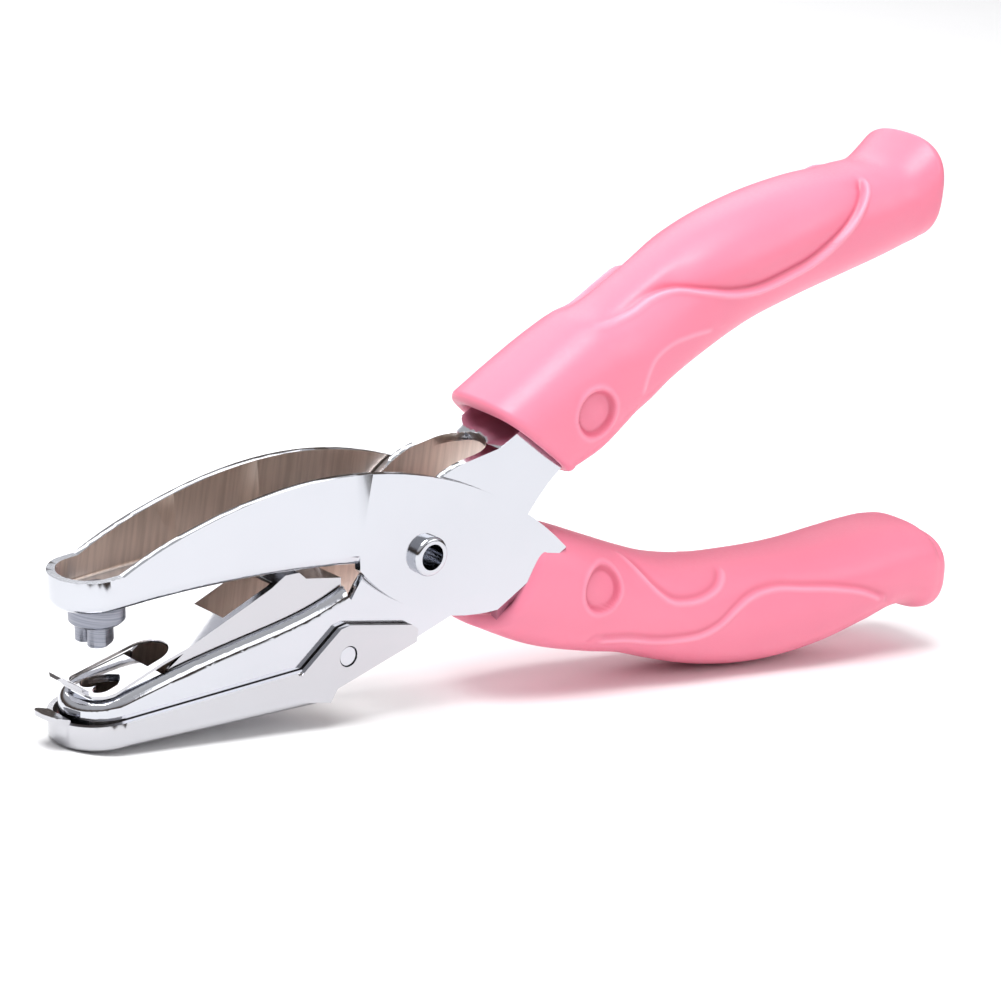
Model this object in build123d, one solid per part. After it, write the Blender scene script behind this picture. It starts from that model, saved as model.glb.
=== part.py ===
"""Heart-hole hand punch: two pressed steel levers on a tubular rivet, a heart punch over its die hole,
a sprung stripper plate, a swing-down chip catcher and two slip-on grips.

Everything is drawn in the jaw frame: origin at the middle of the pivot rivet, X from the jaws to the
handles, Y across the tool, Z along the punch.  stand() then leans the whole tool until the nose of the
chip catcher and the belly of the lower grip rest on one level surface.  Sizes are in millimetres.
"""
from build123d import *
import math
import os

# Driving dimensions
SHEET = 1.2                 # thickness of both lever stampings
TRAY_SHEET = 0.8            # thickness of the chip catcher
STRIP_SHEET = 0.45          # thickness of the stripper plate
STAND_LEAN = 9.95           # degrees between the punch's travel and the vertical when the tool stands
CLOSING_SWING = 8.5         # degrees the punch lever turns until the heart tip is in its hole
FAR = 200.0                 # reaches past the tool in every direction

CHEEK_HALF = 7.3            # punch lever, half the outer width at the pivot
JAW_HALF = 6.0              # punch lever, half the outer width at the nose
TANG_HALF = 5.2             # punch lever, half the outer width inside the lower grip
DIE_HALF = 5.8              # die lever, half its outer width
TANG_END_X = 97.0           # where both tangs end inside the grips
TRAY_HALF = 6.9             # chip catcher, half its outer width

PUNCH_X = -51.0             # the punch's axis
JAW_FLOOR = 4.6             # underside of the upper jaw at the punch
PAD_TOP = -7.7              # top of the die pad at the punch
PAD_SLOPE = 0.15            # rise of the die pad towards the pivot
PAD_END_X = -44.0           # where the closed die pad gives way to the open channel

COLLAR_R = 3.9
COLLAR_BOTTOM = 1.6
HEART_BOTTOM = -1.2
HEART_HALF = 2.65           # half the heart's width
HEART_GAP = 0.15            # room between the heart tip and the die hole

RIVET_SHANK_R = 2.35
RIVET_HEAD_R = 2.9
RIVET_BORE_R = 1.9
RIVET_PROUD = 1.4           # how far each rivet head stands out from the cheek

TRAY_HINGE = (-13.8, -11.8)     # X, Z of the ears' pivot dimples
TRAY_HOLE_R = 1.55
DIMPLE_R = 1.35

SPRING_WIRE_R = 0.6
SPRING_COIL_R = 3.6
SPRING_HALF = 3.3           # half the coil's length along the rivet


def stand(shape):
    """Lean a shape from the jaw frame into the standing frame."""
    return Rot(0, -STAND_LEAN, 0) * shape


def at(*points):
    """Points of a side view, given as (x, z) pairs."""
    return [(x, 0, z) for x, z in points]


def line(*points):
    return Polyline(*at(*points))


def arc(start, middle, end):
    return ThreePointArc(*at(start, middle, end))


def curve(*points):
    return Spline(*at(*points))


def slab(half_width, *edges):
    """A solid of the given side view, as thick as twice half_width across the tool."""
    return extrude(make_face(list(edges)), amount=half_width, both=True)


def block(x0, x1, y0, y1, z0, z1):
    return Pos((x0 + x1) / 2, (y0 + y1) / 2, (z0 + z1) / 2) * Box(x1 - x0, y1 - y0, z1 - z0)


def nose_plan(centre_x, radius):
    """The space of a tool with a round nose in plan: everything behind the nose's half circle."""
    behind = block(centre_x, FAR, -FAR, FAR, -FAR, FAR)
    return behind + Pos(centre_x, 0, 0) * Cylinder(radius, 2 * FAR)


def across(radius, x, z, length=2 * FAR):
    """A round bar across the tool."""
    return Pos(x, 0, z) * Rot(90, 0, 0) * Cylinder(radius, length)


def pad_height(x):
    """Top of the die pad."""
    return PAD_TOP + PAD_SLOPE * (x - PUNCH_X)


def heart_face(half):
    """A heart in plan, centred on the punch's axis, with its notch to the nose and its point to the pivot."""
    lobe = 0.52 * half
    point = 0.98 * half
    notch = -0.42 * half
    shoulder = -0.36 * half
    sides = []
    for side in (1, -1):
        outer = (shoulder + 0.28 * half, side * half)
        sides.append(ThreePointArc((notch, 0), (shoulder - 0.55 * half, side * lobe), outer))
        sides.append(ThreePointArc(outer, (0.52 * half, side * 0.62 * half), (point, 0)))
    return Pos(PUNCH_X, 0, 0) * make_face(sides)


# ---------------------------------------------------------------- punch lever

CREASE_TOP = (-4.3, 12.5)
CREASE_FOOT = (-12.1, 2.6)
CHEEK_TIP = (25.9, -5.5)
CHEEK_HEEL = (12.9, -11.8)
CHEEK_TOE = (-11.8, 0.6)
NOSE_RIM = 9.4
NOSE_X = PUNCH_X - 0.4      # where the upper jaw's flanks end and its round nose begins
NOSE_R = 6.2
FLOOR_BEND_X = -48.0        # behind this the jaw's floor curves down in one arc, tangent to its flat front
FLOOR_BEND_R = 202.0
BEND_OUTSIDE = 1.5          # radii where the jaw's floor turns up into its flanks
BEND_INSIDE = 0.5
SHOULDER_RUN = 3.4          # how far the shoulders run back while they step inwards


def jaw_flanks(inset):
    """Tapered flanks of the jaw and flat cheeks as one wedge, drawn in from the outside by inset."""
    half = CHEEK_HALF - inset
    wedge = block(-FAR, FAR, -half, half, -FAR, FAR)
    for side in (1, -1):
        top = Vector(CREASE_TOP[0], side * half, CREASE_TOP[1])
        foot = Vector(CREASE_FOOT[0], side * half, CREASE_FOOT[1])
        nose = Vector(NOSE_X, side * (JAW_HALF - inset), 7.0)
        normal = (foot - top).cross(nose - top)
        if normal.Y * side < 0:
            normal = normal * -1
        wedge -= Plane(origin=top, z_dir=normal) * Pos(0, 0, FAR) * Box(2 * FAR, 2 * FAR, 2 * FAR)
    return wedge


def jaw_form(inset, bend):
    """The jaw's outer or inner shape: round nose, tapered flanks and a floor with bent edges."""
    high = 30.0
    floor = JAW_FLOOR + inset
    middle, end = [(FLOOR_BEND_X + run, floor - FLOOR_BEND_R + math.sqrt(FLOOR_BEND_R ** 2 - run ** 2))
                   for run in (28.0, 54.0)]
    form = slab(FAR, line((-FAR, high), (end[0], high), end),
                arc(end, middle, (FLOOR_BEND_X, floor)),
                line((FLOOR_BEND_X, floor), (-FAR, floor), (-FAR, high)))
    form = form & jaw_flanks(inset) & nose_plan(NOSE_X, NOSE_R - inset)
    upright = [edge for edge in form.edges()
               if edge.center().X < NOSE_X and abs(edge.center().Y) > 3 and abs((edge @ 0 - edge @ 1).Z) > 10]
    form = fillet(upright, 4.0)
    bottom = [edge for edge in form.edges()
              if edge.center().Z < floor + 0.1 and edge.center().X < 0
              and (abs(edge.center().Y) > 3 or edge.center().X < NOSE_X - 3)]
    return fillet(bottom, bend)


def jaw_body():
    outline = [
        line((-FAR, NOSE_RIM), (-50.4, NOSE_RIM)),
        curve((-50.4, NOSE_RIM), (-46.6, 10.9), (-36.0, 13.7), (-21.0, 15.3), (-2.0, 12.4),
              (13.6, 5.1), CHEEK_TIP),
        line(CHEEK_TIP, CHEEK_HEEL),
        arc(CHEEK_HEEL, (-3.2, -7.0), CHEEK_TOE),
        line(CHEEK_TOE, (-FAR, CHEEK_TOE[1]), (-FAR, NOSE_RIM)),
    ]
    side = slab(FAR, *outline)
    ahead = block(-FAR, CHEEK_TOE[0], -FAR, FAR, -FAR, FAR)
    behind = block(CHEEK_TOE[0], FAR, -FAR, FAR, -FAR, FAR)
    jaw = side & ahead & jaw_form(0, BEND_OUTSIDE)
    cheeks = side & behind & jaw_flanks(0)
    hollow = ahead & jaw_form(SHEET, BEND_INSIDE)
    return jaw - hollow + (cheeks - jaw_flanks(SHEET))


def shoulder(inset):
    """The stepped neck between the cheeks' rear edge and the tang, drawn in by inset."""
    run = Vector(CHEEK_TIP[0] - CHEEK_HEEL[0], 0, CHEEK_TIP[1] - CHEEK_HEEL[1])
    height = run.length
    run = run.normalized()
    back = Vector(-run.Z, 0, run.X) * -1
    middle = Vector((CHEEK_TIP[0] + CHEEK_HEEL[0]) / 2, 0, (CHEEK_TIP[1] + CHEEK_HEEL[1]) / 2)
    wide = Plane(origin=middle, x_dir=run, z_dir=back) * Rectangle(height, 2 * (CHEEK_HALF - inset))
    narrow_at = middle + back * SHOULDER_RUN
    narrow = Plane(origin=narrow_at, x_dir=run, z_dir=back) * Rectangle(height, 2 * (TANG_HALF - inset))
    return loft([wide.face(), narrow.face()])


def lower_tang_outline():
    return [
        line((27.38, -8.56), (14.38, -14.86)),
        curve((14.38, -14.86), (24.0, -18.6), (40.0, -24.2), (60.0, -31.0), (80.0, -33.6),
              (TANG_END_X, -31.5)),
        line((TANG_END_X, -31.5), (TANG_END_X, -25.6)),
        curve((TANG_END_X, -25.6), (80.0, -22.8), (60.0, -20.8), (40.0, -14.0), (27.38, -8.56)),
    ]


def lower_tang_hollow():
    """Room inside the tang: open along its upper side, closed by the spine along its lower side."""
    return [
        line((27.38, -8.56), (14.9, -13.5), (16.0, -14.2)),
        curve((16.0, -14.2), (24.0, -17.3), (40.0, -22.9), (60.0, -29.7), (80.0, -32.3),
              (TANG_END_X, -30.2)),
        line((TANG_END_X, -30.2), (FAR, -30.2), (FAR, 0), (27.38, -8.56)),
    ]


def punch_lever():
    lever = jaw_body()
    lever += shoulder(0) - shoulder(SHEET)
    lever += slab(TANG_HALF, *lower_tang_outline()) - slab(TANG_HALF - SHEET, *lower_tang_hollow())
    lever -= across(RIVET_SHANK_R, 0, 0)
    lever -= Pos(PUNCH_X, 0, JAW_FLOOR) * Cylinder(2.0, 6)
    return lever


# ---------------------------------------------------------------- die lever

DIE_NOSE_X = PUNCH_X + 0.1
CHANNEL_HALF = DIE_HALF - SHEET     # half the opening between the jaw's rolled top edges
ROLL_R = 1.7                # outer radius of the jaw's rolled top edges
SLOT_END_X = 15.7           # round end of the slot in the upper handle
SLOT_START_X = 7.0
NOTCH = [(-13.0, -1.9), (-12.9, -3.4), (-12.3, -4.0)]


def upper_tang_top(drop):
    """Top of the upper handle's spine from the slot to its end, lowered by drop."""
    points = [(14.6, 11.9), (22.0, 15.2), (30.0, 19.0), (45.0, 26.0), (60.0, 32.0), (78.0, 35.2),
              (TANG_END_X, 36.2)]
    return [(x, z - drop) for x, z in points]


def upper_tang_under():
    return [(TANG_END_X, 30.0), (80.0, 27.2), (62.0, 23.4), (45.0, 16.6), (34.0, 10.6), (26.1, 6.1)]


def die_lever_outline():
    pad_nose = pad_height(-60.0)
    pad_end = (PAD_END_X, pad_height(PAD_END_X))
    top = upper_tang_top(0)
    under = upper_tang_under()
    return [
        line((-60.0, pad_nose), pad_end),
        curve(pad_end, (-37.0, -5.7), (-29.0, -4.9), (-21.0, -4.0), NOTCH[0]),
        line(*NOTCH),
        curve(NOTCH[-1], (-9.6, -0.6), (-4.0, 4.0), (2.1, 9.0), (8.0, 11.2)),
        line((8.0, 11.2), top[0]),
        curve(*top),
        line(top[-1], under[0]),
        curve(*under),
        curve(under[-1], (19.7, 0.3), (12.5, -7.6), (5.2, -11.3)),
        line((5.2, -11.3), (-15.4, -16.6), (-20.0, -15.4), (-52.0, -12.6), (-60.0, -12.2),
             (-60.0, pad_nose)),
    ]


def die_lever_hollow():
    """Room inside the channel: open below, closed above by the die pad and by the handle's spine."""
    pad_nose = (-60.0, pad_height(-60.0) - SHEET)
    pad_end = (PAD_END_X, pad_height(PAD_END_X) - SHEET)
    top = upper_tang_top(SHEET + 0.1)
    return [
        line(pad_nose, pad_end),
        curve(pad_end, (-29.0, -6.1), (-21.0, -5.2), (-13.0, -3.1)),
        line((-13.0, -3.1), (-13.0, 40.0), (9.0, 40.0), (9.0, 9.9), top[0]),
        curve(*top),
        line(top[-1], (FAR, 35.0), (FAR, -60.0), (-60.0, -60.0), pad_nose),
    ]


def die_lever():
    body = slab(DIE_HALF, *die_lever_outline()) & nose_plan(DIE_NOSE_X, DIE_HALF)
    rolled = [edge for edge in body.edges()
              if -58 < edge.center().X < -14 and edge.length > 8
              and pad_height(edge.center().X) - 1.5 < edge.center().Z < 0
              and (abs(edge.center().Y) > 3 or edge.center().X < -56)]
    body = fillet(rolled, ROLL_R)
    inner = DIE_HALF - SHEET
    body -= slab(inner, *die_lever_hollow()) & nose_plan(DIE_NOSE_X, inner)
    body -= block(PAD_END_X, -12.0, -CHANNEL_HALF, CHANNEL_HALF, -9.0, 5.0)
    slot_centre = SLOT_END_X - inner
    body -= block(SLOT_START_X, slot_centre, -inner, inner, 8.0, 20.0)
    body -= Pos(slot_centre, 0, 14.0) * Cylinder(inner, 12.0)
    body -= Rot(0, -CLOSING_SWING, 0) * Pos(0, 0, HEART_BOTTOM - 3) * extrude(
        heart_face(HEART_HALF + HEART_GAP), amount=6)
    body -= across(RIVET_SHANK_R + 0.1, 0, 0)
    for side in (1, -1):
        dimple = Pos(TRAY_HINGE[0], side * (DIE_HALF + 0.35), TRAY_HINGE[1]) * Rot(90, 0, 0)
        body += dimple * Cylinder(DIMPLE_R, 1.1)
    return body


# ---------------------------------------------------------------- small pieces

STAKE_R = 2.0               # the punch's tail where it passes through the jaw's floor


def heart_punch():
    """Collar under the jaw's floor, heart tip below it and a tail staked over inside the jaw."""
    collar_high = JAW_FLOOR - COLLAR_BOTTOM
    collar = Pos(PUNCH_X, 0, COLLAR_BOTTOM + collar_high / 2) * Cylinder(COLLAR_R, collar_high)
    collar = chamfer(collar.edges().sort_by(Axis.Z)[0], 0.4)
    tail = Pos(PUNCH_X, 0, JAW_FLOOR + SHEET / 2) * Cylinder(STAKE_R, SHEET)
    head = Pos(PUNCH_X, 0, JAW_FLOOR + SHEET + 0.4) * Cylinder(STAKE_R + 0.6, 0.8)
    head = chamfer(head.edges().sort_by(Axis.Z)[-1], 0.3)
    tip = Pos(0, 0, HEART_BOTTOM) * extrude(heart_face(HEART_HALF), amount=COLLAR_BOTTOM - HEART_BOTTOM)
    return collar + tail + head + tip


def pivot_rivet():
    """Tubular rivet with a rolled head outside each cheek of the punch lever."""
    reach = CHEEK_HALF + RIVET_PROUD
    rivet = across(RIVET_SHANK_R, 0, 0, 2 * CHEEK_HALF)
    for side in (1, -1):
        head = Pos(0, side * (CHEEK_HALF + RIVET_PROUD / 2), 0) * Rot(90, 0, 0)
        rivet += head * Cylinder(RIVET_HEAD_R, RIVET_PROUD)
    rims = [edge for edge in rivet.edges() if abs(edge.center().Y) > reach - 0.01]
    rivet = fillet(rims, 0.6)
    return rivet - across(RIVET_BORE_R, 0, 0)


SPRING_UP = 38.0            # direction of the leg that lies under the upper handle's spine
SPRING_DOWN = -40.0         # direction of the leg that lies in the lower handle
SPRING_UP_LEG = 27.0
SPRING_DOWN_LEG = 30.4


def return_spring():
    """Torsion spring round the rivet: nearly four turns, with a straight leg into each handle."""
    start_angle = SPRING_DOWN + 90
    sweep_angle = SPRING_UP - 90 - start_angle + 4 * 360
    steps = 60
    coil = []
    for step in range(steps + 1):
        angle = math.radians(start_angle + sweep_angle * step / steps)
        across_tool = SPRING_HALF * (1 - 2 * step / steps)
        coil.append(Vector(SPRING_COIL_R * math.cos(angle), across_tool, SPRING_COIL_R * math.sin(angle)))
    legs = []
    for start, heading, length in ((coil[0], SPRING_DOWN, SPRING_DOWN_LEG),
                                   (coil[-1], SPRING_UP, SPRING_UP_LEG)):
        way = Vector(math.cos(math.radians(heading)), 0, math.sin(math.radians(heading)))
        legs.append([start + way * length * share for share in (0.1, 0.3, 0.6, 1.0)])
    path = Spline(legs[0][::-1] + coil + legs[1])
    return sweep(Plane(origin=path @ 0, z_dir=path % 0) * Circle(SPRING_WIRE_R), path=path)


STRIP_NOSE_X = -55.0
STRIP_BAR_HALF = 5.3        # half the plate's width at its front bar
STRIP_NECK_X = -43.5        # where the arms have narrowed to the channel's width
STRIP_HALF = 4.4            # half its width where it drops into the lower jaw's channel
SLOT_FRONT = (-54.1, 3.9)   # X and half width of the slot's front end
SLOT_END = (-40.2, 3.3)     # X and radius of its round rear end
WINDOW_X = (-32.6, -24.2)
WINDOW_HALF = 3.3
LIP_HALF = 2.5


def strip_line(lower):
    """Side view of the stripper's top sheet from its front bar to the end of its rear strap."""
    points = [(STRIP_NOSE_X, -7.3), (-52.2, -7.05), (-39.0, -4.2), (-25.1, 0.6), (-22.6, 1.9), (-20.2, 1.7),
              (-19.0, 0.5), (-13.0, -0.9)]
    return [(x, z - lower) for x, z in points]


def stripper_plan():
    """Plan of the whole plate: front bar with round corners, arms that narrow, straight rear."""
    outline = make_face(Polyline((STRIP_NOSE_X, STRIP_BAR_HALF), (-52.0, STRIP_BAR_HALF),
                                 (STRIP_NECK_X, STRIP_HALF), (0, STRIP_HALF), (0, -STRIP_HALF),
                                 (STRIP_NECK_X, -STRIP_HALF), (-52.0, -STRIP_BAR_HALF),
                                 (STRIP_NOSE_X, -STRIP_BAR_HALF), close=True))
    corners = [corner for corner in outline.vertices() if corner.X < STRIP_NOSE_X + 0.1]
    return extrude(fillet(corners, 2.8), amount=FAR, both=True)


def stripper_slot():
    """Plan of the slot that the punch passes through."""
    front_x, front_half = SLOT_FRONT
    end_x, end_radius = SLOT_END
    centre_x = end_x - end_radius
    outline = make_face(Polyline((front_x, front_half), (centre_x, end_radius), (centre_x, -end_radius),
                                 (front_x, -front_half), close=True))
    corners = [corner for corner in outline.vertices() if corner.X < front_x + 0.1]
    return extrude(fillet(corners, 1.6) + Pos(centre_x, 0) * Circle(end_radius), amount=FAR, both=True)


def stripper_plate():
    """Thin channel: slotted arms, bridge, window, hump, rear strap, two side wings and a lifted lip."""
    top = strip_line(0)
    under = strip_line(STRIP_SHEET)
    under.reverse()
    plate = slab(FAR, line(*top, *under, top[0]))
    wings = slab(STRIP_HALF, line(*top[2:], (-13.0, -3.6), (-20.0, -7.2), (-36.0, -9.2), (-40.6, -9.2),
                                  (-42.9, -7.4), (-42.7, -6.4), top[2]))
    wings -= block(-FAR, FAR, STRIP_SHEET - STRIP_HALF, STRIP_HALF - STRIP_SHEET, -FAR, FAR)
    body = (plate + wings) & stripper_plan()
    body -= stripper_slot()
    body -= block(*WINDOW_X, -WINDOW_HALF, WINDOW_HALF, -12, 5)
    lip = slab(LIP_HALF, line((-54.7, -7.5), (-58.4, -4.8), (-58.1, -4.4), (-54.4, -7.05), (-54.7, -7.5)))
    lip &= Pos(-55.8, 0, 0) * Cylinder(LIP_HALF + 0.2, 2 * FAR) + block(-55.8, 0, -FAR, FAR, -FAR, FAR)
    return body + lip


TRAY_NOSE_X = -51.4


def chip_catcher():
    """Trough under the lower jaw, with two ears on the die lever's dimples and a thumb tab."""
    rear = (-17.1, -17.9)
    floor = [(-FAR, -14.9), (-51.2, -14.9), rear]
    body = slab(FAR, line((-FAR, -10.8), (-51.2, -11.0), (-21.3, -11.9), rear, *floor[1::-1], (-FAR, -10.8)))
    body &= nose_plan(TRAY_NOSE_X, TRAY_HALF) & block(-FAR, FAR, -TRAY_HALF, TRAY_HALF, -FAR, FAR)
    bends = [edge for edge in body.edges()
             if edge.center().Z < -14.5 and edge.center().X < -18
             and (abs(edge.center().Y) > 3 or edge.center().X < TRAY_NOSE_X - 5)]
    body = fillet(bends, 1.2)
    ears = slab(TRAY_HALF, line((-22.0, -12.4), (-15.0, -7.4), (-13.4, -7.2), (-2.4, -10.1), (-1.3, -11.0),
                                (-1.6, -12.9), (-15.8, -16.1), rear, (-22.0, -16.5), (-22.0, -12.4)))
    inner = TRAY_HALF - TRAY_SHEET
    inside = slab(FAR, line((-FAR, -14.9 + TRAY_SHEET), (-51.2, -14.9 + TRAY_SHEET),
                            (rear[0], rear[1] + TRAY_SHEET), (rear[0], -FAR), (FAR, -FAR), (FAR, FAR),
                            (-FAR, FAR), (-FAR, -14.9 + TRAY_SHEET)))
    inside &= nose_plan(TRAY_NOSE_X, inner) & block(-FAR, FAR, -inner, inner, -FAR, FAR)
    tab = slab(2.6, line((-57.9, -11.0), (-61.0, -9.7), (-61.0, -9.0), (-57.6, -10.3), (-57.9, -11.0)))
    tab &= Pos(-58.4, 0, 0) * Cylinder(2.7, 2 * FAR)
    body = body + ears - inside + tab
    return body - across(TRAY_HOLE_R, *TRAY_HINGE)


# ---------------------------------------------------------------- grips

GRIP_GAP = 0.1              # the sleeves' fit over the tangs
UPPER_GRIP = [              # upper point, lower point and half width of each section
    ((14.0, 19.3), (29.6, 4.8), 9.0),
    ((22.5, 23.4), (35.5, 6.4), 9.5),
    ((41.6, 30.0), (47.8, 13.0), 9.5),
    ((57.2, 35.8), (62.3, 18.4), 9.5),
    ((74.0, 38.3), (77.0, 21.1), 9.6),
    ((91.0, 39.0), (93.5, 23.6), 9.7),
    ((98.0, 41.3), (99.6, 25.0), 9.4),
    ((101.8, 38.2), (102.2, 28.6), 6.5),
]
LOWER_GRIP = [
    ((21.4, -1.4), (12.7, -16.4), 8.6),
    ((28.0, -4.4), (21.0, -20.8), 9.2),
    ((40.0, -10.5), (35.4, -26.0), 9.3),
    ((57.0, -16.8), (54.0, -33.2), 9.3),
    ((75.0, -19.7), (74.4, -36.8), 9.6),
    ((91.0, -20.4), (91.0, -35.4), 9.6),
    ((102.0, -22.4), (102.4, -36.9), 9.2),
    ((107.6, -27.6), (107.2, -34.6), 6.0),
]


def sleeve(sections):
    """Outer shape of a grip, lofted through oval sections."""
    ovals = []
    for (top_x, top_z), (low_x, low_z), half in sections:
        top = Vector(top_x, 0, top_z)
        low = Vector(low_x, 0, low_z)
        up = top - low
        place = Plane(origin=(top + low) / 2, x_dir=up, z_dir=Vector(up.Z, 0, -up.X))
        ovals.append((place * Ellipse(up.length / 2, half)).face())
    return loft(ovals)


def upper_grip():
    top = upper_tang_top(-GRIP_GAP)
    under = [(x, z - GRIP_GAP) for x, z in upper_tang_under()]
    end = TANG_END_X + GRIP_GAP
    pocket = slab(DIE_HALF + GRIP_GAP, line((8.0, 11.3), top[0]), curve(*top),
                  line(top[-1], (end, top[-1][1]), (end, under[0][1]), under[0]), curve(*under),
                  line(under[-1], (19.7, 0.0), (8.0, 0.0), (8.0, 11.3)))
    return sleeve(UPPER_GRIP) - pocket


def lower_grip():
    pocket = slab(TANG_HALF + GRIP_GAP, *lower_tang_outline())
    end = block(TANG_END_X, TANG_END_X + GRIP_GAP, -TANG_HALF, TANG_HALF, -31.6, -25.5)
    ahead = slab(FAR, line((26.1, -5.3), (27.7, -8.6), (14.4, -15.1), (5.0, -15.1), (5.0, 10.0), (17.0, 10.0),
                           (17.0, 3.0), (26.1, -5.3)))
    return sleeve(LOWER_GRIP) - pocket - end - ahead


NODES = (punch_lever, die_lever, heart_punch, stripper_plate, chip_catcher, pivot_rivet, return_spring,
         upper_grip, lower_grip)


def main():
    os.makedirs("parts", exist_ok=True)
    for make in NODES:
        export_step(stand(make()), f"parts/{make.__name__}.step")


if __name__ == "__main__":
    main()
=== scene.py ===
"""Looks of the heart-hole hand punch: camera, studio, nickel-plated steel, the wound spring and two grips.

The grips and the spring are drawn in the jaw frame (millimetres, X to the handles, Z along the punch),
which leans by STAND_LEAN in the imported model.  to_standing() turns jaw-frame points into metres in the
model's frame.
"""

import math

import bpy
import numpy as np
from mathutils import Matrix, Vector


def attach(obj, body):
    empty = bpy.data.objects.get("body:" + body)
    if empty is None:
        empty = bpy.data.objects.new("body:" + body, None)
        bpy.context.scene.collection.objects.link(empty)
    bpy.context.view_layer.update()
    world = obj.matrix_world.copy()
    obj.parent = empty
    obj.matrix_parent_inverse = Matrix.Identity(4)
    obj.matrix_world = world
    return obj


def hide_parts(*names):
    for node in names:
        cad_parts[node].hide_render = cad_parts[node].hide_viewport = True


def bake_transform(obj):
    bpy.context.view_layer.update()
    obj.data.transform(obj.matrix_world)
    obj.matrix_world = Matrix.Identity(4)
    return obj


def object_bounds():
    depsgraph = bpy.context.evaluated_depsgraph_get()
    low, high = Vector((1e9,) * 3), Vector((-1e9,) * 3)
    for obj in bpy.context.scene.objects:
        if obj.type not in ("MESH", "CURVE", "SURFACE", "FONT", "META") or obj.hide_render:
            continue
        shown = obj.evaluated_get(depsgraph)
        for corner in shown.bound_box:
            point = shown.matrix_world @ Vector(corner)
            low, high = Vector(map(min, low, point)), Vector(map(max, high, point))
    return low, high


STAND_LEAN = math.radians(9.95)

CAMERA_AIM = (0.01919, 0.0, 0.00447)
CAMERA_AZIMUTH = math.radians(-42.398)
CAMERA_ELEVATION = math.radians(14.435)
CAMERA_ROLL = math.radians(7.611)
CAMERA_DISTANCE = 0.6166
CAMERA_LENS = 154.07

FLOOR_HALF = 3.0            # metres; large enough to fill the picture from every side
WORLD_STRENGTH = 0.7
SOFTBOXES = {               # name: place, the point it looks at, size, power
    "key_softbox": ((-0.30, -0.10, 0.95), (0.02, 0, 0), (0.6, 0.6), 12.0),
    "fill_softbox": ((0.55, -0.75, 0.45), (0.03, 0, 0), (0.6, 0.5), 2.0),
    "back_softbox": ((0.3, 0.8, 0.7), (0.03, 0, 0), (0.8, 0.4), 2.2),
}

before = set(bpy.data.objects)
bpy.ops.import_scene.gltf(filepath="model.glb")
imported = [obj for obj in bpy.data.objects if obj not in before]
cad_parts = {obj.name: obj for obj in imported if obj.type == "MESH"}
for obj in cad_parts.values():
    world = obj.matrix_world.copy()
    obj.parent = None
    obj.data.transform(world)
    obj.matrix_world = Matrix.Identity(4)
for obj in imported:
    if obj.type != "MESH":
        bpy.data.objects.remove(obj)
cad_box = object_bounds()


# ---------------------------------------------------------------- geometry helpers

def to_standing(points):
    """Jaw-frame points in millimetres, as rows of x, y, z, in the model's frame in metres."""
    x, y, z = np.asarray(points, float).T
    cos, sin = math.cos(STAND_LEAN), math.sin(STAND_LEAN)
    return np.stack([x * cos - z * sin, y, x * sin + z * cos], 1) / 1000


def through(rows, count):
    """A smooth curve through rows of numbers, sampled at count points evenly along its length."""
    rows = np.asarray(rows, float)
    steps = np.linalg.norm(np.diff(rows[:, :2], axis=0), axis=1)
    knots = np.concatenate([[0], np.cumsum(steps)])
    slopes = np.gradient(rows, knots, axis=0)
    at = np.linspace(0, knots[-1], count)
    index = np.clip(np.searchsorted(knots, at, side="right") - 1, 0, len(rows) - 2)
    span = (knots[index + 1] - knots[index])[:, None]
    t = ((at - knots[index])[:, None]) / span
    start, end = rows[index], rows[index + 1]
    return ((2 * t ** 3 - 3 * t ** 2 + 1) * start + (t ** 3 - 2 * t ** 2 + t) * span * slopes[index]
            + (3 * t ** 2 - 2 * t ** 3) * end + (t ** 3 - t ** 2) * span * slopes[index + 1])


def smooth_step(value, low, high):
    """0 below low, 1 above high and a smooth ramp between them."""
    t = np.clip((value - low) / (high - low), 0, 1)
    return t * t * (3 - 2 * t)


def distance_to(line, x, z):
    """Distance from side-view points to a line of side-view points, and which side of it they are on."""
    start = line[:-1]
    run = np.diff(line, axis=0)
    length = (run ** 2).sum(1)
    best = np.full(x.shape, 1e9)
    side = np.zeros(x.shape)
    for (ax, az), (rx, rz), square in zip(start, run, length):
        t = np.clip(((x - ax) * rx + (z - az) * rz) / square, 0, 1)
        away = np.hypot(x - ax - t * rx, z - az - t * rz)
        closer = away < best
        best = np.where(closer, away, best)
        side = np.where(closer, np.sign(rx * (z - az) - rz * (x - ax)), side)
    return best, side


def grid_mesh(name, rings, painted_shading):
    """A closed skin over rings of points, each end closed with a fan; the painted shade and highlight of the
    moulded relief is kept at every point.
    """
    count, around, _ = rings.shape
    vertices = [tuple(p) for p in to_standing(rings.reshape(-1, 3))]
    faces = []
    for i in range(count - 1):
        for j in range(around):
            k = (j + 1) % around
            faces.append((i * around + j, i * around + k, (i + 1) * around + k, (i + 1) * around + j))
    for ring, flip in ((0, False), (count - 1, True)):
        hub = len(vertices)
        vertices.append(tuple(to_standing(rings[ring].mean(0)[None])[0]))
        for j in range(around):
            a, b = ring * around + j, ring * around + (j + 1) % around
            faces.append((hub, a, b) if flip else (hub, b, a))
    mesh = bpy.data.meshes.new(name)
    mesh.from_pydata(vertices, [], faces)
    shade = mesh.attributes.new("moulding_and_painted_shading", "FLOAT", "POINT")
    shade.data.foreach_set("value", np.concatenate([painted_shading.ravel(), [0.0, 0.0]]))
    for polygon in mesh.polygons:
        polygon.use_smooth = True
    piece = bpy.data.objects.new(name, mesh)
    bpy.context.scene.collection.objects.link(piece)
    return piece


# ---------------------------------------------------------------- materials

def new_material(name):
    """An empty material, its node tree and its shader."""
    material = bpy.data.materials.new(name)
    material.use_nodes = True
    tree = material.node_tree
    return material, tree, tree.nodes["Principled BSDF"]


def link(tree, source, target):
    tree.links.new(source, target)


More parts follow.
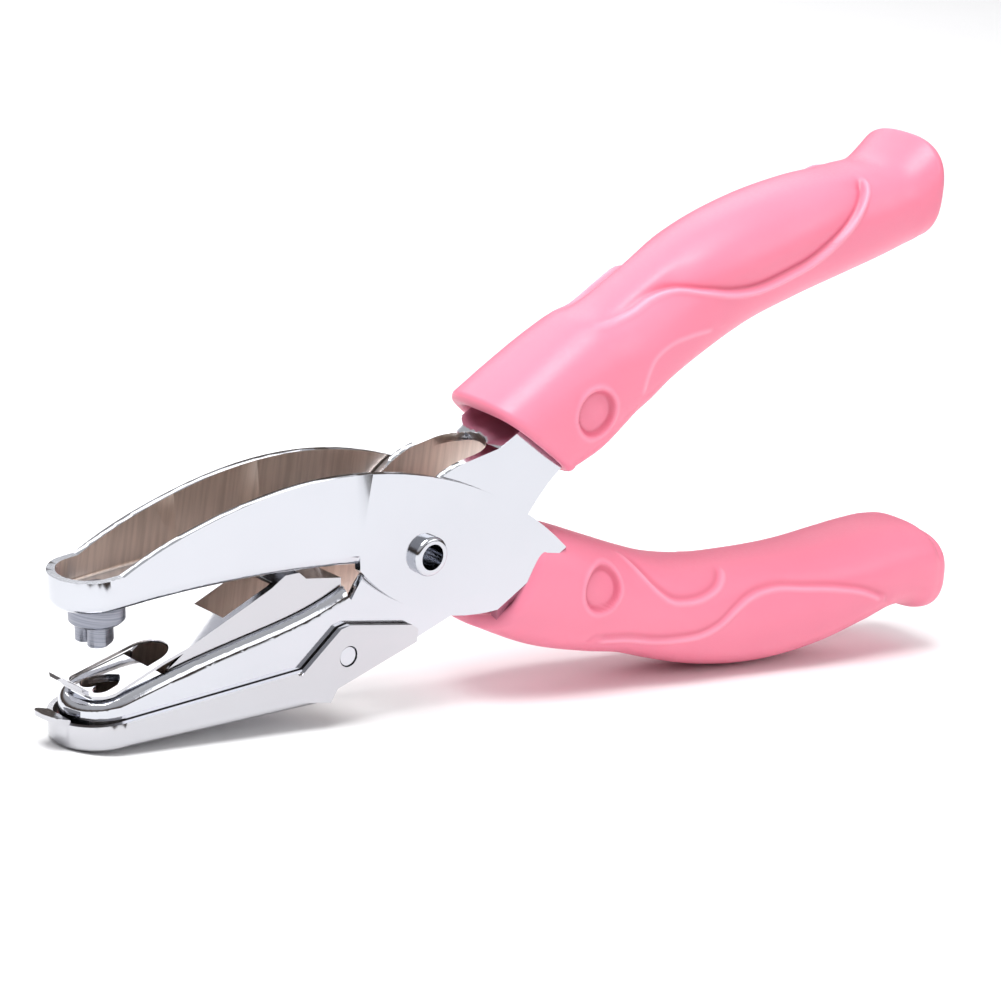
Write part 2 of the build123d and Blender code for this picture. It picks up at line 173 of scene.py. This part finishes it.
def noise(tree, scale, detail=4.0, stretch=(1, 1, 1)):
    """A noise texture in the object's own space, with its pattern stretched along an axis."""
    place = tree.nodes.new("ShaderNodeTexCoord")
    mapping = tree.nodes.new("ShaderNodeMapping")
    mapping.inputs["Scale"].default_value = stretch
    texture = tree.nodes.new("ShaderNodeTexNoise")
    texture.inputs["Scale"].default_value = scale
    texture.inputs["Detail"].default_value = detail
    link(tree, place.outputs["Object"], mapping.inputs["Vector"])
    link(tree, mapping.outputs["Vector"], texture.inputs["Vector"])
    return texture.outputs["Fac"]


def remap(tree, value, low, high, to_low, to_high):
    """A value scaled from one range to another."""
    node = tree.nodes.new("ShaderNodeMapRange")
    for name, number in (("From Min", low), ("From Max", high), ("To Min", to_low), ("To Max", to_high)):
        node.inputs[name].default_value = number
    link(tree, value, node.inputs["Value"])
    return node.outputs["Result"]


def math_node(tree, operation, first, second):
    """The result of one operation on two sockets or numbers."""
    node = tree.nodes.new("ShaderNodeMath")
    node.operation = operation
    for socket, value in zip(node.inputs, (first, second)):
        if isinstance(value, (int, float)):
            socket.default_value = value
        else:
            link(tree, value, socket)
    return node.outputs["Value"]


def mix_colour(tree, factor, first, second):
    """A mix of two colours, each a plain colour or a socket."""
    node = tree.nodes.new("ShaderNodeMix")
    node.data_type = "RGBA"
    for socket, value in ((node.inputs[6], first), (node.inputs[7], second)):
        if isinstance(value, tuple):
            socket.default_value = (*value, 1)
        else:
            link(tree, value, socket)
    link(tree, factor, node.inputs[0])
    return node.outputs[2]


def add_bump(tree, shader, height, strength, distance):
    """Fine roughness on the shader's normal."""
    node = tree.nodes.new("ShaderNodeBump")
    node.inputs["Strength"].default_value = strength
    node.inputs["Distance"].default_value = distance
    link(tree, height, node.inputs["Height"])
    link(tree, node.outputs["Normal"], shader.inputs["Normal"])


def facing_inwards(tree):
    """1 on the inside faces of the channels, which look at the tool's centre plane; 0 elsewhere."""
    geometry = tree.nodes.new("ShaderNodeNewGeometry")
    split_normal = tree.nodes.new("ShaderNodeSeparateXYZ")
    split_place = tree.nodes.new("ShaderNodeSeparateXYZ")
    link(tree, geometry.outputs["True Normal"], split_normal.inputs["Vector"])
    link(tree, geometry.outputs["Position"], split_place.inputs["Vector"])
    product = math_node(tree, "MULTIPLY", split_normal.outputs["Y"], split_place.outputs["Y"])
    return remap(tree, product, -0.0012, -0.0032, 0.0, 1.0)


def nickel_plate(name, bright=(0.55, 0.562, 0.60), inside_painted_tint=(0.62, 0.53, 0.475), rough=0.08):
    """Bright nickel over pressed steel; the inside of a channel is duller and drawn vertically, and its
    browner colour is painted shade and painted reflection of the pink grips.
    """
    material, tree, shader = new_material(name)
    shader.inputs["Metallic"].default_value = 1.0
    inside = facing_inwards(tree)
    streaks = noise(tree, 240, 5, (6, 1, 0.35))
    cloud = noise(tree, 38, 3)
    # Inside faces of the channels: a browner colour that paints the shade there and the pink grips'
    # reflection; its vertical streaks are the plate's own drawing marks.
    inside_painted_colour = mix_colour(tree, remap(tree, streaks, 0.35, 0.65, 0, 1), inside_painted_tint,
                              tuple(1.25 * part for part in inside_painted_tint))
    bright_colour = mix_colour(tree, remap(tree, cloud, 0.3, 0.7, 0, 1), bright,
                               tuple(0.95 * part for part in bright))
    link(tree, mix_colour(tree, inside, bright_colour, inside_painted_colour), shader.inputs["Base Color"])
    outer_rough = remap(tree, cloud, 0.3, 0.7, rough, rough + 0.05)
    gap = math_node(tree, "SUBTRACT", 0.36, outer_rough)
    link(tree, math_node(tree, "ADD", outer_rough, math_node(tree, "MULTIPLY", inside, gap)),
         shader.inputs["Roughness"])
    add_bump(tree, shader, noise(tree, 900, 3, (3, 1, 0.5)), 0.05, 0.0001)
    return material


def turned_steel():
    """Blued grey punch steel with the fine rings of the lathe."""
    material, tree, shader = new_material("turned_steel")
    shader.inputs["Metallic"].default_value = 1.0
    rings = noise(tree, 1500, 2, (0.05, 0.05, 3))
    colour = mix_colour(tree, remap(tree, rings, 0.35, 0.65, 0, 1), (0.20, 0.21, 0.25), (0.34, 0.35, 0.40))
    link(tree, colour, shader.inputs["Base Color"])
    link(tree, remap(tree, rings, 0.3, 0.7, 0.32, 0.46), shader.inputs["Roughness"])
    add_bump(tree, shader, rings, 0.2, 0.0001)
    return material


def spring_steel():
    """Plain drawn wire, a little duller than the plate."""
    material, tree, shader = new_material("spring_steel")
    shader.inputs["Metallic"].default_value = 1.0
    drawn = noise(tree, 700, 3)
    link(tree, mix_colour(tree, drawn, (0.30, 0.30, 0.31), (0.52, 0.52, 0.54)), shader.inputs["Base Color"])
    link(tree, remap(tree, drawn, 0.3, 0.7, 0.22, 0.38), shader.inputs["Roughness"])
    return material


def grip_rubber():
    """Satin pink vinyl: fine moulded grain, a faint cloudiness and light let through its skin; its grooves
    are darkened with painted shade and its crests lightened with a painted highlight.
    """
    material, tree, shader = new_material("grip_rubber")
    cloud = noise(tree, 26, 3)
    grain = noise(tree, 1900, 3)
    colour = mix_colour(tree, remap(tree, cloud, 0.3, 0.7, 0, 1), (0.79, 0.205, 0.305), (0.83, 0.235, 0.34))
    moulding_and_painted_shading = tree.nodes.new("ShaderNodeAttribute")
    moulding_and_painted_shading.attribute_name = "moulding_and_painted_shading"
    painted_groove_shade = remap(tree, moulding_and_painted_shading.outputs["Fac"], 0, -1, 0, 0.8)
    painted_crest_highlight = remap(tree, moulding_and_painted_shading.outputs["Fac"], 0.1, 1, 0, 0.55)
    # Painted shade in the grooves of the moulded lines and a painted highlight on their crests.
    colour = mix_colour(tree, painted_groove_shade, colour, (0.60, 0.10, 0.17))
    colour = mix_colour(tree, painted_crest_highlight, colour, (0.97, 0.46, 0.60))
    link(tree, colour, shader.inputs["Base Color"])
    link(tree, remap(tree, grain, 0.3, 0.7, 0.36, 0.46), shader.inputs["Roughness"])
    shader.inputs["Subsurface Weight"].default_value = 0.1
    shader.inputs["Subsurface Radius"].default_value = (0.004, 0.0015, 0.0015)
    shader.inputs["Subsurface Scale"].default_value = 1.0
    shader.inputs["Specular IOR Level"].default_value = 0.45
    add_bump(tree, shader, grain, 0.06, 0.00008)
    return material


# ---------------------------------------------------------------- camera, floor and studio

def add_camera():
    """The camera looks at CAMERA_AIM from its distance, and is rolled about its own axis."""
    back = Vector((math.sin(CAMERA_AZIMUTH) * math.cos(CAMERA_ELEVATION),
                   -math.cos(CAMERA_AZIMUTH) * math.cos(CAMERA_ELEVATION), math.sin(CAMERA_ELEVATION)))
    data = bpy.data.cameras.new("camera")
    data.lens = CAMERA_LENS
    data.clip_start = 0.01
    camera = bpy.data.objects.new("camera", data)
    bpy.context.scene.collection.objects.link(camera)
    turn = back.to_track_quat("Z", "Y").to_matrix().to_4x4() @ Matrix.Rotation(CAMERA_ROLL, 4, "Z")
    camera.matrix_world = Matrix.Translation(Vector(CAMERA_AIM) + back * CAMERA_DISTANCE) @ turn
    bpy.context.scene.camera = camera


def add_floor():
    """A plain pale card at the height of the tool's lowest point."""
    level = cad_box[0][2]
    mesh = bpy.data.meshes.new("floor")
    corners = [(x * FLOOR_HALF, y * FLOOR_HALF, level) for x, y in ((-1, -1), (1, -1), (1, 1), (-1, 1))]
    mesh.from_pydata(corners, [], [(0, 1, 2, 3)])
    floor = bpy.data.objects.new("floor", mesh)
    bpy.context.scene.collection.objects.link(floor)
    material, tree, shader = new_material("floor_card")
    speckle = noise(tree, 60, 2)
    colour = mix_colour(tree, speckle, (0.90, 0.90, 0.905), (0.92, 0.92, 0.925))
    link(tree, colour, shader.inputs["Base Color"])
    shader.inputs["Roughness"].default_value = 0.9
    mesh.materials.append(material)


def add_world():
    """A white studio with a dark brown band above the horizon, which the polished steel picks up."""
    world = bpy.data.worlds.new("studio")
    world.use_nodes = True
    tree = world.node_tree
    background = tree.nodes["Background"]
    place = tree.nodes.new("ShaderNodeTexCoord")
    split = tree.nodes.new("ShaderNodeSeparateXYZ")
    link(tree, place.outputs["Generated"], split.inputs["Vector"])
    ramp = tree.nodes.new("ShaderNodeValToRGB")
    stops = [(0.0, (0.95, 0.95, 0.96)), (0.50, (0.80, 0.79, 0.78)), (0.53, (0.10, 0.075, 0.065)),
             (0.62, (0.18, 0.14, 0.12)), (0.70, (0.85, 0.85, 0.88)), (1.0, (1.0, 1.0, 1.0))]
    elements = ramp.color_ramp.elements
    while len(elements) < len(stops):
        elements.new(0.5)
    for element, (position, colour) in zip(elements, stops):
        element.position = position
        element.color = (*colour, 1)
    link(tree, remap(tree, split.outputs["Z"], -1, 1, 0, 1), ramp.inputs["Fac"])
    link(tree, ramp.outputs["Color"], background.inputs["Color"])
    background.inputs["Strength"].default_value = WORLD_STRENGTH
    bpy.context.scene.world = world


def add_light(name, place, aim, size, power):
    """A rectangular softbox that looks at a point."""
    data = bpy.data.lights.new(name, "AREA")
    data.shape = "RECTANGLE"
    data.size, data.size_y = size
    data.energy = power
    light = bpy.data.objects.new(name, data)
    bpy.context.scene.collection.objects.link(light)
    way = Vector(place) - Vector(aim)
    light.matrix_world = Matrix.Translation(place) @ way.to_track_quat("Z", "Y").to_matrix().to_4x4()


# ---------------------------------------------------------------- grips

AROUND = 260                # points round a ring
ALONG = 330                 # rings from the mouth to the end
WALL = 2.6                  # thickness of the sleeve at its mouth
POCKET_RINGS = 36           # how many rings deep the sleeve's open pocket is
POCKET_RING_STEP = 6        # the pocket's plain wall needs only every sixth ring
POCKET_HALF = 6.15          # half the pocket's width, just wider than the handle in it
POCKET_SQUARENESS = 4.0
LIP_STEPS = 13              # steps of the rounded lip, the rounded end and the end's dome
END_STEPS = 14
DOME_STEPS = 12
DOME_HEIGHT = 0.5
SCOOP_RINGS = 60            # how far the scooped mouth reaches along the sleeve
WIDEST_HALF = 9.0           # half the sleeve's width, against which the scoop is measured
DISH_EDGE = 0.4             # softness of the thumb dish's rim and wall

# Each grip's sections: x, z of the top; x, z of the underside; half width; squareness.
UPPER_SECTIONS = [
    (15.3, 17.9, 29.5, 5.0, 8.7, 3.0),
    (21.8, 21.1, 34.1, 6.4, 8.9, 2.9),
    (29.6, 24.8, 38.9, 8.8, 8.9, 2.6),
    (32.6, 26.0, 40.9, 9.9, 8.8, 2.5),
    (36.4, 26.6, 43.6, 11.1, 8.7, 2.4),
    (42.6, 29.2, 47.8, 13.4, 8.7, 2.3),
    (49.4, 32.3, 54.5, 16.2, 8.7, 2.3),
    (57.4, 35.2, 62.4, 18.9, 8.8, 2.3),
    (68.5, 37.4, 72.5, 20.9, 9.0, 2.3),
    (79.5, 38.1, 82.5, 22.4, 9.1, 2.3),
    (88.5, 37.9, 90.5, 23.7, 8.9, 2.4),
    (94.2, 38.1, 94.4, 24.5, 8.7, 2.5),
    (97.4, 39.6, 96.2, 24.9, 8.9, 2.6),
    (99.8, 41.05, 97.4, 25.3, 9.0, 2.7),
]
LOWER_SECTIONS = [
    (21.0, -1.8, 12.4, -15.8, 8.2, 3.0),
    (28.5, -4.8, 21.5, -20.9, 8.9, 2.8),
    (36.6, -8.8, 32.0, -25.0, 9.0, 2.5),
    (43.0, -12.0, 39.3, -27.3, 8.9, 2.4),
    (49.0, -14.7, 45.6, -30.0, 8.9, 2.4),
    (56.5, -17.0, 53.8, -33.2, 8.9, 2.3),
    (67.6, -19.0, 66.0, -36.1, 9.0, 2.3),
    (79.0, -20.3, 78.4, -36.6, 9.2, 2.3),
    (88.0, -20.7, 87.8, -35.4, 9.1, 2.4),
    (94.0, -21.0, 94.0, -34.4, 8.9, 2.5),
    (98.6, -21.5, 97.8, -34.9, 8.9, 2.6),
    (101.6, -22.4, 100.4, -36.2, 8.8, 2.7),
    (103.0, -23.8, 101.6, -36.5, 8.5, 2.7),
]


def bent_oval(height, width, squareness, around):
    """Offsets of a ring: up and across, as a rounded rectangle that squareness makes boxier."""
    angle = np.linspace(2 * np.pi, 0, around, endpoint=False)     # this way round, the skin faces out
    power = 2 / squareness
    up = np.sign(np.cos(angle)) * np.abs(np.cos(angle)) ** power * height
    out = np.sign(np.sin(angle)) * np.abs(np.sin(angle)) ** power * width
    return up, out


def ring_at(row, height_less=0.0, width_less=0.0, forward=0.0, squareness=None):
    """One ring of a grip, drawn in by the given amounts and moved forward along the grip."""
    top, low, half = np.array(row[:2]), np.array(row[2:4]), row[4]
    up_way = (top - low) / np.linalg.norm(top - low)
    ahead = np.array([up_way[1], -up_way[0]])
    height = max(np.linalg.norm(top - low) / 2 - height_less, 0.05)
    up, out = bent_oval(height, max(half - width_less, 0.05), squareness or row[5], AROUND)
    centre = (top + low) / 2 + ahead * forward
    x = centre[0] + up * up_way[0]
    z = centre[1] + up * up_way[1]
    return np.stack([x, out, z], 1)


def sleeve_rings(sections, end_radius, scoop):
    """Rings from the bottom of the pocket, round the mouth's lip, along the outside and over the end."""
    rows = through(sections, ALONG)
    rings = []
    half = sections[0][4]
    for index in range(POCKET_RINGS, 0, -POCKET_RING_STEP):
        rings.append(ring_at(rows[index], WALL, rows[index][4] - POCKET_HALF, 0.0, POCKET_SQUARENESS))
    lip = WALL / 2
    for step in range(1, LIP_STEPS):
        turn = math.pi * step / LIP_STEPS
        inset = lip * (1 + math.cos(turn))
        side_inset = (half - POCKET_HALF) / 2 * (1 + math.cos(turn))
        squareness = POCKET_SQUARENESS + (rows[0][5] - POCKET_SQUARENESS) * step / LIP_STEPS
        rings.append(ring_at(rows[0], inset, side_inset, -lip * math.sin(turn), squareness))
    first_outer = len(rings)
    for row in rows:
        rings.append(ring_at(row))
    last = rows[-1]
    for step in range(1, END_STEPS + 1):
        turn = math.pi / 2 * step / END_STEPS
        inset = end_radius * (1 - math.cos(turn))
        rings.append(ring_at(last, inset, inset, end_radius * math.sin(turn)))
    flat_height = np.linalg.norm(last[:2] - last[2:4]) / 2 - end_radius
    flat_half = last[4] - end_radius
    for step in range(1, DOME_STEPS):
        share = step / DOME_STEPS
        dome = DOME_HEIGHT * (1 - (1 - share) ** 2)
        rings.append(ring_at(last, end_radius + flat_height * share, end_radius + flat_half * share,
                             end_radius + dome))
    rings = np.array(rings)
    if scoop:
        scoop_mouth(rings, rows, first_outer, scoop)
    return rings


def scoop_mouth(rings, rows, first_outer, depth):
    """Draw the mouth's sides back along the grip, so that its lip is longer at the top and underside."""
    run = rows[12][:4] - rows[0][:4]
    ahead = (run[:2] + run[2:]) / np.linalg.norm(run[:2] + run[2:])
    for i in range(first_outer + SCOOP_RINGS):
        fade = 1.0 if i < first_outer else 1 - (i - first_outer) / SCOOP_RINGS
        side = np.abs(rings[i][:, 1]) / WIDEST_HALF
        move = depth * smooth_step(side, 0.2, 1.0) * fade
        rings[i][:, 0] += move * ahead[0]
        rings[i][:, 2] += move * ahead[1]


def relief(x, z, line, ridge, ridge_width, step, step_width, fade):
    """Height and painted shading of a moulded line: a thin ridge, with the panel above it falling away into
    it.

    ridge and ridge_width are its height and width, step and step_width are the panel's depth at it and
    how far off that starts, and fade is the length over which its two ends die away.
    """
    path = through(line, 60)
    away, side = distance_to(path, x, z)
    ends = np.minimum(np.hypot(x - path[0][0], z - path[0][1]), np.hypot(x - path[-1][0], z - path[-1][1]))
    fade_in = smooth_step(ends, 0, fade)
    crest = np.exp(-(away / ridge_width) ** 2)
    fall = np.clip(1 - away / step_width, 0, 1) ** 2 * smooth_step(away, 0, 2 * ridge_width)
    height = ridge * crest - step * np.where(side > 0, fall, 0)
    # Painted shade: a dark band in the hollow beside the ridge; painted highlight: the ridge's crest made
    # lighter.
    groove_shade_mask = np.where(side > 0, np.exp(-((away - 2.2 * ridge_width) / ridge_width) ** 2), 0)
    painted_shading = 0.8 * crest - groove_shade_mask * min(1, max(0, 1.2 * step))
    return np.stack([height, painted_shading]) * fade_in


def thumb_dish(x, z, centre, radius, depth):
    """Height and painted shading of a round dish with a raised edge: a painted highlight on the rim, painted
    shade down the inside of its edge and over its floor.
    """
    away = np.hypot(x - centre[0], z - centre[1])
    dish = -depth * (1 - smooth_step(away, radius - 0.55, radius + 0.1))
    rim = np.exp(-((away - radius - 0.45) / DISH_EDGE) ** 2)
    # Painted shade down the inside of the dish's edge and over its floor, and a painted highlight on its
    # rim.
    dish_wall_shade = np.exp(-((away - radius + 0.35) / DISH_EDGE) ** 2)
    return np.stack([dish + 0.16 * rim, 0.5 * rim - dish_wall_shade - 0.12 * (away < radius)])


def press_in(rings, height_of):
    """Move the ring points along their normals by the relief, on both sides; also give their painted shade
    and highlight.
    """
    along = np.gradient(rings, axis=0)
    around = (np.roll(rings, -1, axis=1) - np.roll(rings, 1, axis=1)) / 2
    normal = np.cross(around, along)
    normal /= np.maximum(np.linalg.norm(normal, axis=2, keepdims=True), 1e-9)
    outward = np.sign((normal[..., 1] * rings[..., 1]))
    normal *= np.where(outward == 0, 1, outward)[..., None]
    height, painted_shading = height_of(rings[..., 0], rings[..., 2])
    fade = smooth_step(np.abs(rings[..., 1]), 3.0, 6.0) * smooth_step(np.abs(normal[..., 1]), 0.15, 0.5)
    return rings + normal * (height * fade)[..., None], painted_shading * fade


UPPER_S_LINE = [(18.5, 27.0), (24.0, 27.6), (30.5, 26.2), (34.9, 25.6), (39.3, 26.3), (43.7, 28.0),
                (47.2, 28.6), (51.7, 27.6), (57.2, 26.2), (61.8, 25.8), (67.8, 26.6), (73.3, 28.0),
                (77.5, 30.0), (80.3, 31.7), (84.0, 34.6), (86.5, 36.9), (87.3, 39.3), (86.3, 41.6)]
UPPER_LEAF = [(39.5, 14.0), (40.0, 17.0), (41.6, 19.8), (44.4, 21.3), (48.8, 21.9), (53.7, 21.8)]
LOWER_LEAF = [(35.6, -7.0), (37.2, -9.1), (39.8, -12.8), (42.4, -16.3), (45.7, -19.1), (48.9, -20.1),
              (52.9, -20.4), (56.8, -19.7), (59.1, -18.3), (59.6, -16.5), (58.0, -14.8), (53.5, -13.0)]
LOWER_S_LINE = [(31.0, -21.6), (37.3, -23.0), (42.0, -24.6), (46.4, -25.5), (51.7, -26.0), (55.0, -25.4),
                (58.3, -23.9), (61.5, -22.9), (66.3, -22.8), (73.1, -24.3), (80.0, -26.1), (85.0, -27.9),
                (89.3, -30.3)]

RIDGE_WIDTH = 0.42
RIDGE_FADE = 2.0
# Each line's points, the height of its ridge, and the depth and reach of the panel that falls into it.
UPPER_LINES = ((UPPER_S_LINE, 0.32, 1.15, 6.0), (UPPER_LEAF, 0.16, -0.2, 3.0))
LOWER_LINES = ((LOWER_LEAF, 0.22, 0.5, 3.0), (LOWER_S_LINE, 0.24, 0.5, 3.5))
# Each thumb dish's centre, radius and depth.
UPPER_DISH = ((30.4, 14.2), 3.45, 0.75)
LOWER_DISH = ((31.7, -13.2), 3.45, 0.7)


def moulding_of(lines, dish):
    """A function of side-view x and z for the height of all of one grip's moulded relief and its painted
    shade and highlight.
    """
    def moulding_and_painted_shading(x, z):
        total = thumb_dish(x, z, *dish)
        for line, ridge, step, step_width in lines:
            total = total + relief(x, z, line, ridge, RIDGE_WIDTH, step, step_width, RIDGE_FADE)
        return total
    return moulding_and_painted_shading


def add_grip(name, node, body, sections, relief_of, end_radius, scoop, material):
    """One soft sleeve in the place of its plain CAD grip."""
    rings, painted_shading = press_in(sleeve_rings(sections, end_radius, scoop), relief_of)
    piece = grid_mesh(name, rings, painted_shading)
    piece.data.materials.append(material)
    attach(piece, body)
    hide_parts(node)


# ---------------------------------------------------------------- spring

SPRING_COIL_R = 3.6         # radius of the coil's centre line
SPRING_WIRE_R = 0.6
SPRING_HALF = 3.3           # half the coil's width across the tool
SPRING_UP = 38.0            # degrees above the jaw frame's X of the upper leg
SPRING_DOWN = -40.0         # and of the lower leg
SPRING_UP_LEG = 27.0        # lengths of the legs
SPRING_DOWN_LEG = 30.4
SPRING_TURNS = 4
WIRE_AROUND = 20            # points round the wire, and points along the coil and along each leg
COIL_POINTS = 240
LEG_POINTS = 40


def spring_path():
    """Points of the spring's centre line: one leg, nearly four turns round the rivet, the other leg."""
    first = math.radians(SPRING_DOWN + 90)
    last = math.radians(SPRING_UP - 90 + SPRING_TURNS * 360)
    share = np.linspace(0, 1, COIL_POINTS)
    angle = first + (last - first) * share
    coil = np.stack([SPRING_COIL_R * np.cos(angle), SPRING_HALF * (1 - 2 * share),
                     SPRING_COIL_R * np.sin(angle)], 1)
    legs = []
    for start, heading, length in ((coil[0], SPRING_DOWN, SPRING_DOWN_LEG),
                                   (coil[-1], SPRING_UP, SPRING_UP_LEG)):
        way = np.array([math.cos(math.radians(heading)), 0, math.sin(math.radians(heading))])
        legs.append(start + np.linspace(0.03, 1, LEG_POINTS)[:, None] * length * way)
    return np.concatenate([legs[0][::-1], coil, legs[1]])


def add_spring(material):
    """The wound wire, with its upper leg along the die lever and its lower leg along the punch lever."""
    path = spring_path()
    ahead = np.gradient(path, axis=0)
    ahead /= np.linalg.norm(ahead, axis=1, keepdims=True)
    across = np.array([0.0, 1.0, 0.0]) - ahead * ahead[:, 1:2]
    across /= np.linalg.norm(across, axis=1, keepdims=True)
    upward = np.cross(ahead, across)
    turn = np.linspace(0, 2 * np.pi, WIRE_AROUND, endpoint=False)[None, :, None]
    rings = path[:, None] + SPRING_WIRE_R * (np.cos(turn) * across[:, None] + np.sin(turn) * upward[:, None])
    piece = grid_mesh("spring_wire", rings, np.zeros(rings.shape[:2]))
    piece.data.materials.append(material)
    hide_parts("return_spring")
    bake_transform(piece)


# ---------------------------------------------------------------- steel

def finish_steel(node, material, edge=0.00012):
    """Give a CAD node its plate, and break its sharp edges so that they catch the light."""
    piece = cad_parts[node]
    piece.data.materials.clear()
    piece.data.materials.append(material)
    weld = piece.modifiers.new("weld", "WELD")
    weld.merge_threshold = 1e-6
    if edge:
        bevel = piece.modifiers.new("edges", "BEVEL")
        bevel.width = edge
        bevel.segments = 2
        bevel.limit_method = "ANGLE"
        bevel.angle_limit = math.radians(35)
        bevel.harden_normals = True


def main():
    """Studio, plated steel, spring and sleeves."""
    bpy.context.scene.view_settings.view_transform = "Standard"
    add_camera()
    add_floor()
    add_world()
    for name, settings in SOFTBOXES.items():
        add_light(name, *settings)
    plate = nickel_plate("nickel_plate")
    # The thin plates' inside faces get the same painted brown shade and painted reflection, in a paler tint.
    thin_plate = nickel_plate("nickel_thin_plate", bright=(0.50, 0.50, 0.525), inside_painted_tint=(0.60, 0.55, 0.52),
                              rough=0.11)
    finish_steel("punch_lever", plate)
    finish_steel("die_lever", plate)
    finish_steel("stripper_plate", thin_plate, 0.00006)
    finish_steel("chip_catcher", thin_plate, 0.0001)
    finish_steel("pivot_rivet", nickel_plate("nickel_rivet"), None)
    finish_steel("heart_punch", turned_steel(), 0.00008)
    add_spring(spring_steel())
    rubber = grip_rubber()
    add_grip("upper_sleeve", "upper_grip", "die_side", UPPER_SECTIONS,
             moulding_of(UPPER_LINES, UPPER_DISH), end_radius=2.4, scoop=0.0, material=rubber)
    add_grip("lower_sleeve", "lower_grip", "punch_side", LOWER_SECTIONS,
             moulding_of(LOWER_LINES, LOWER_DISH), end_radius=2.6, scoop=3.5, material=rubber)


main()
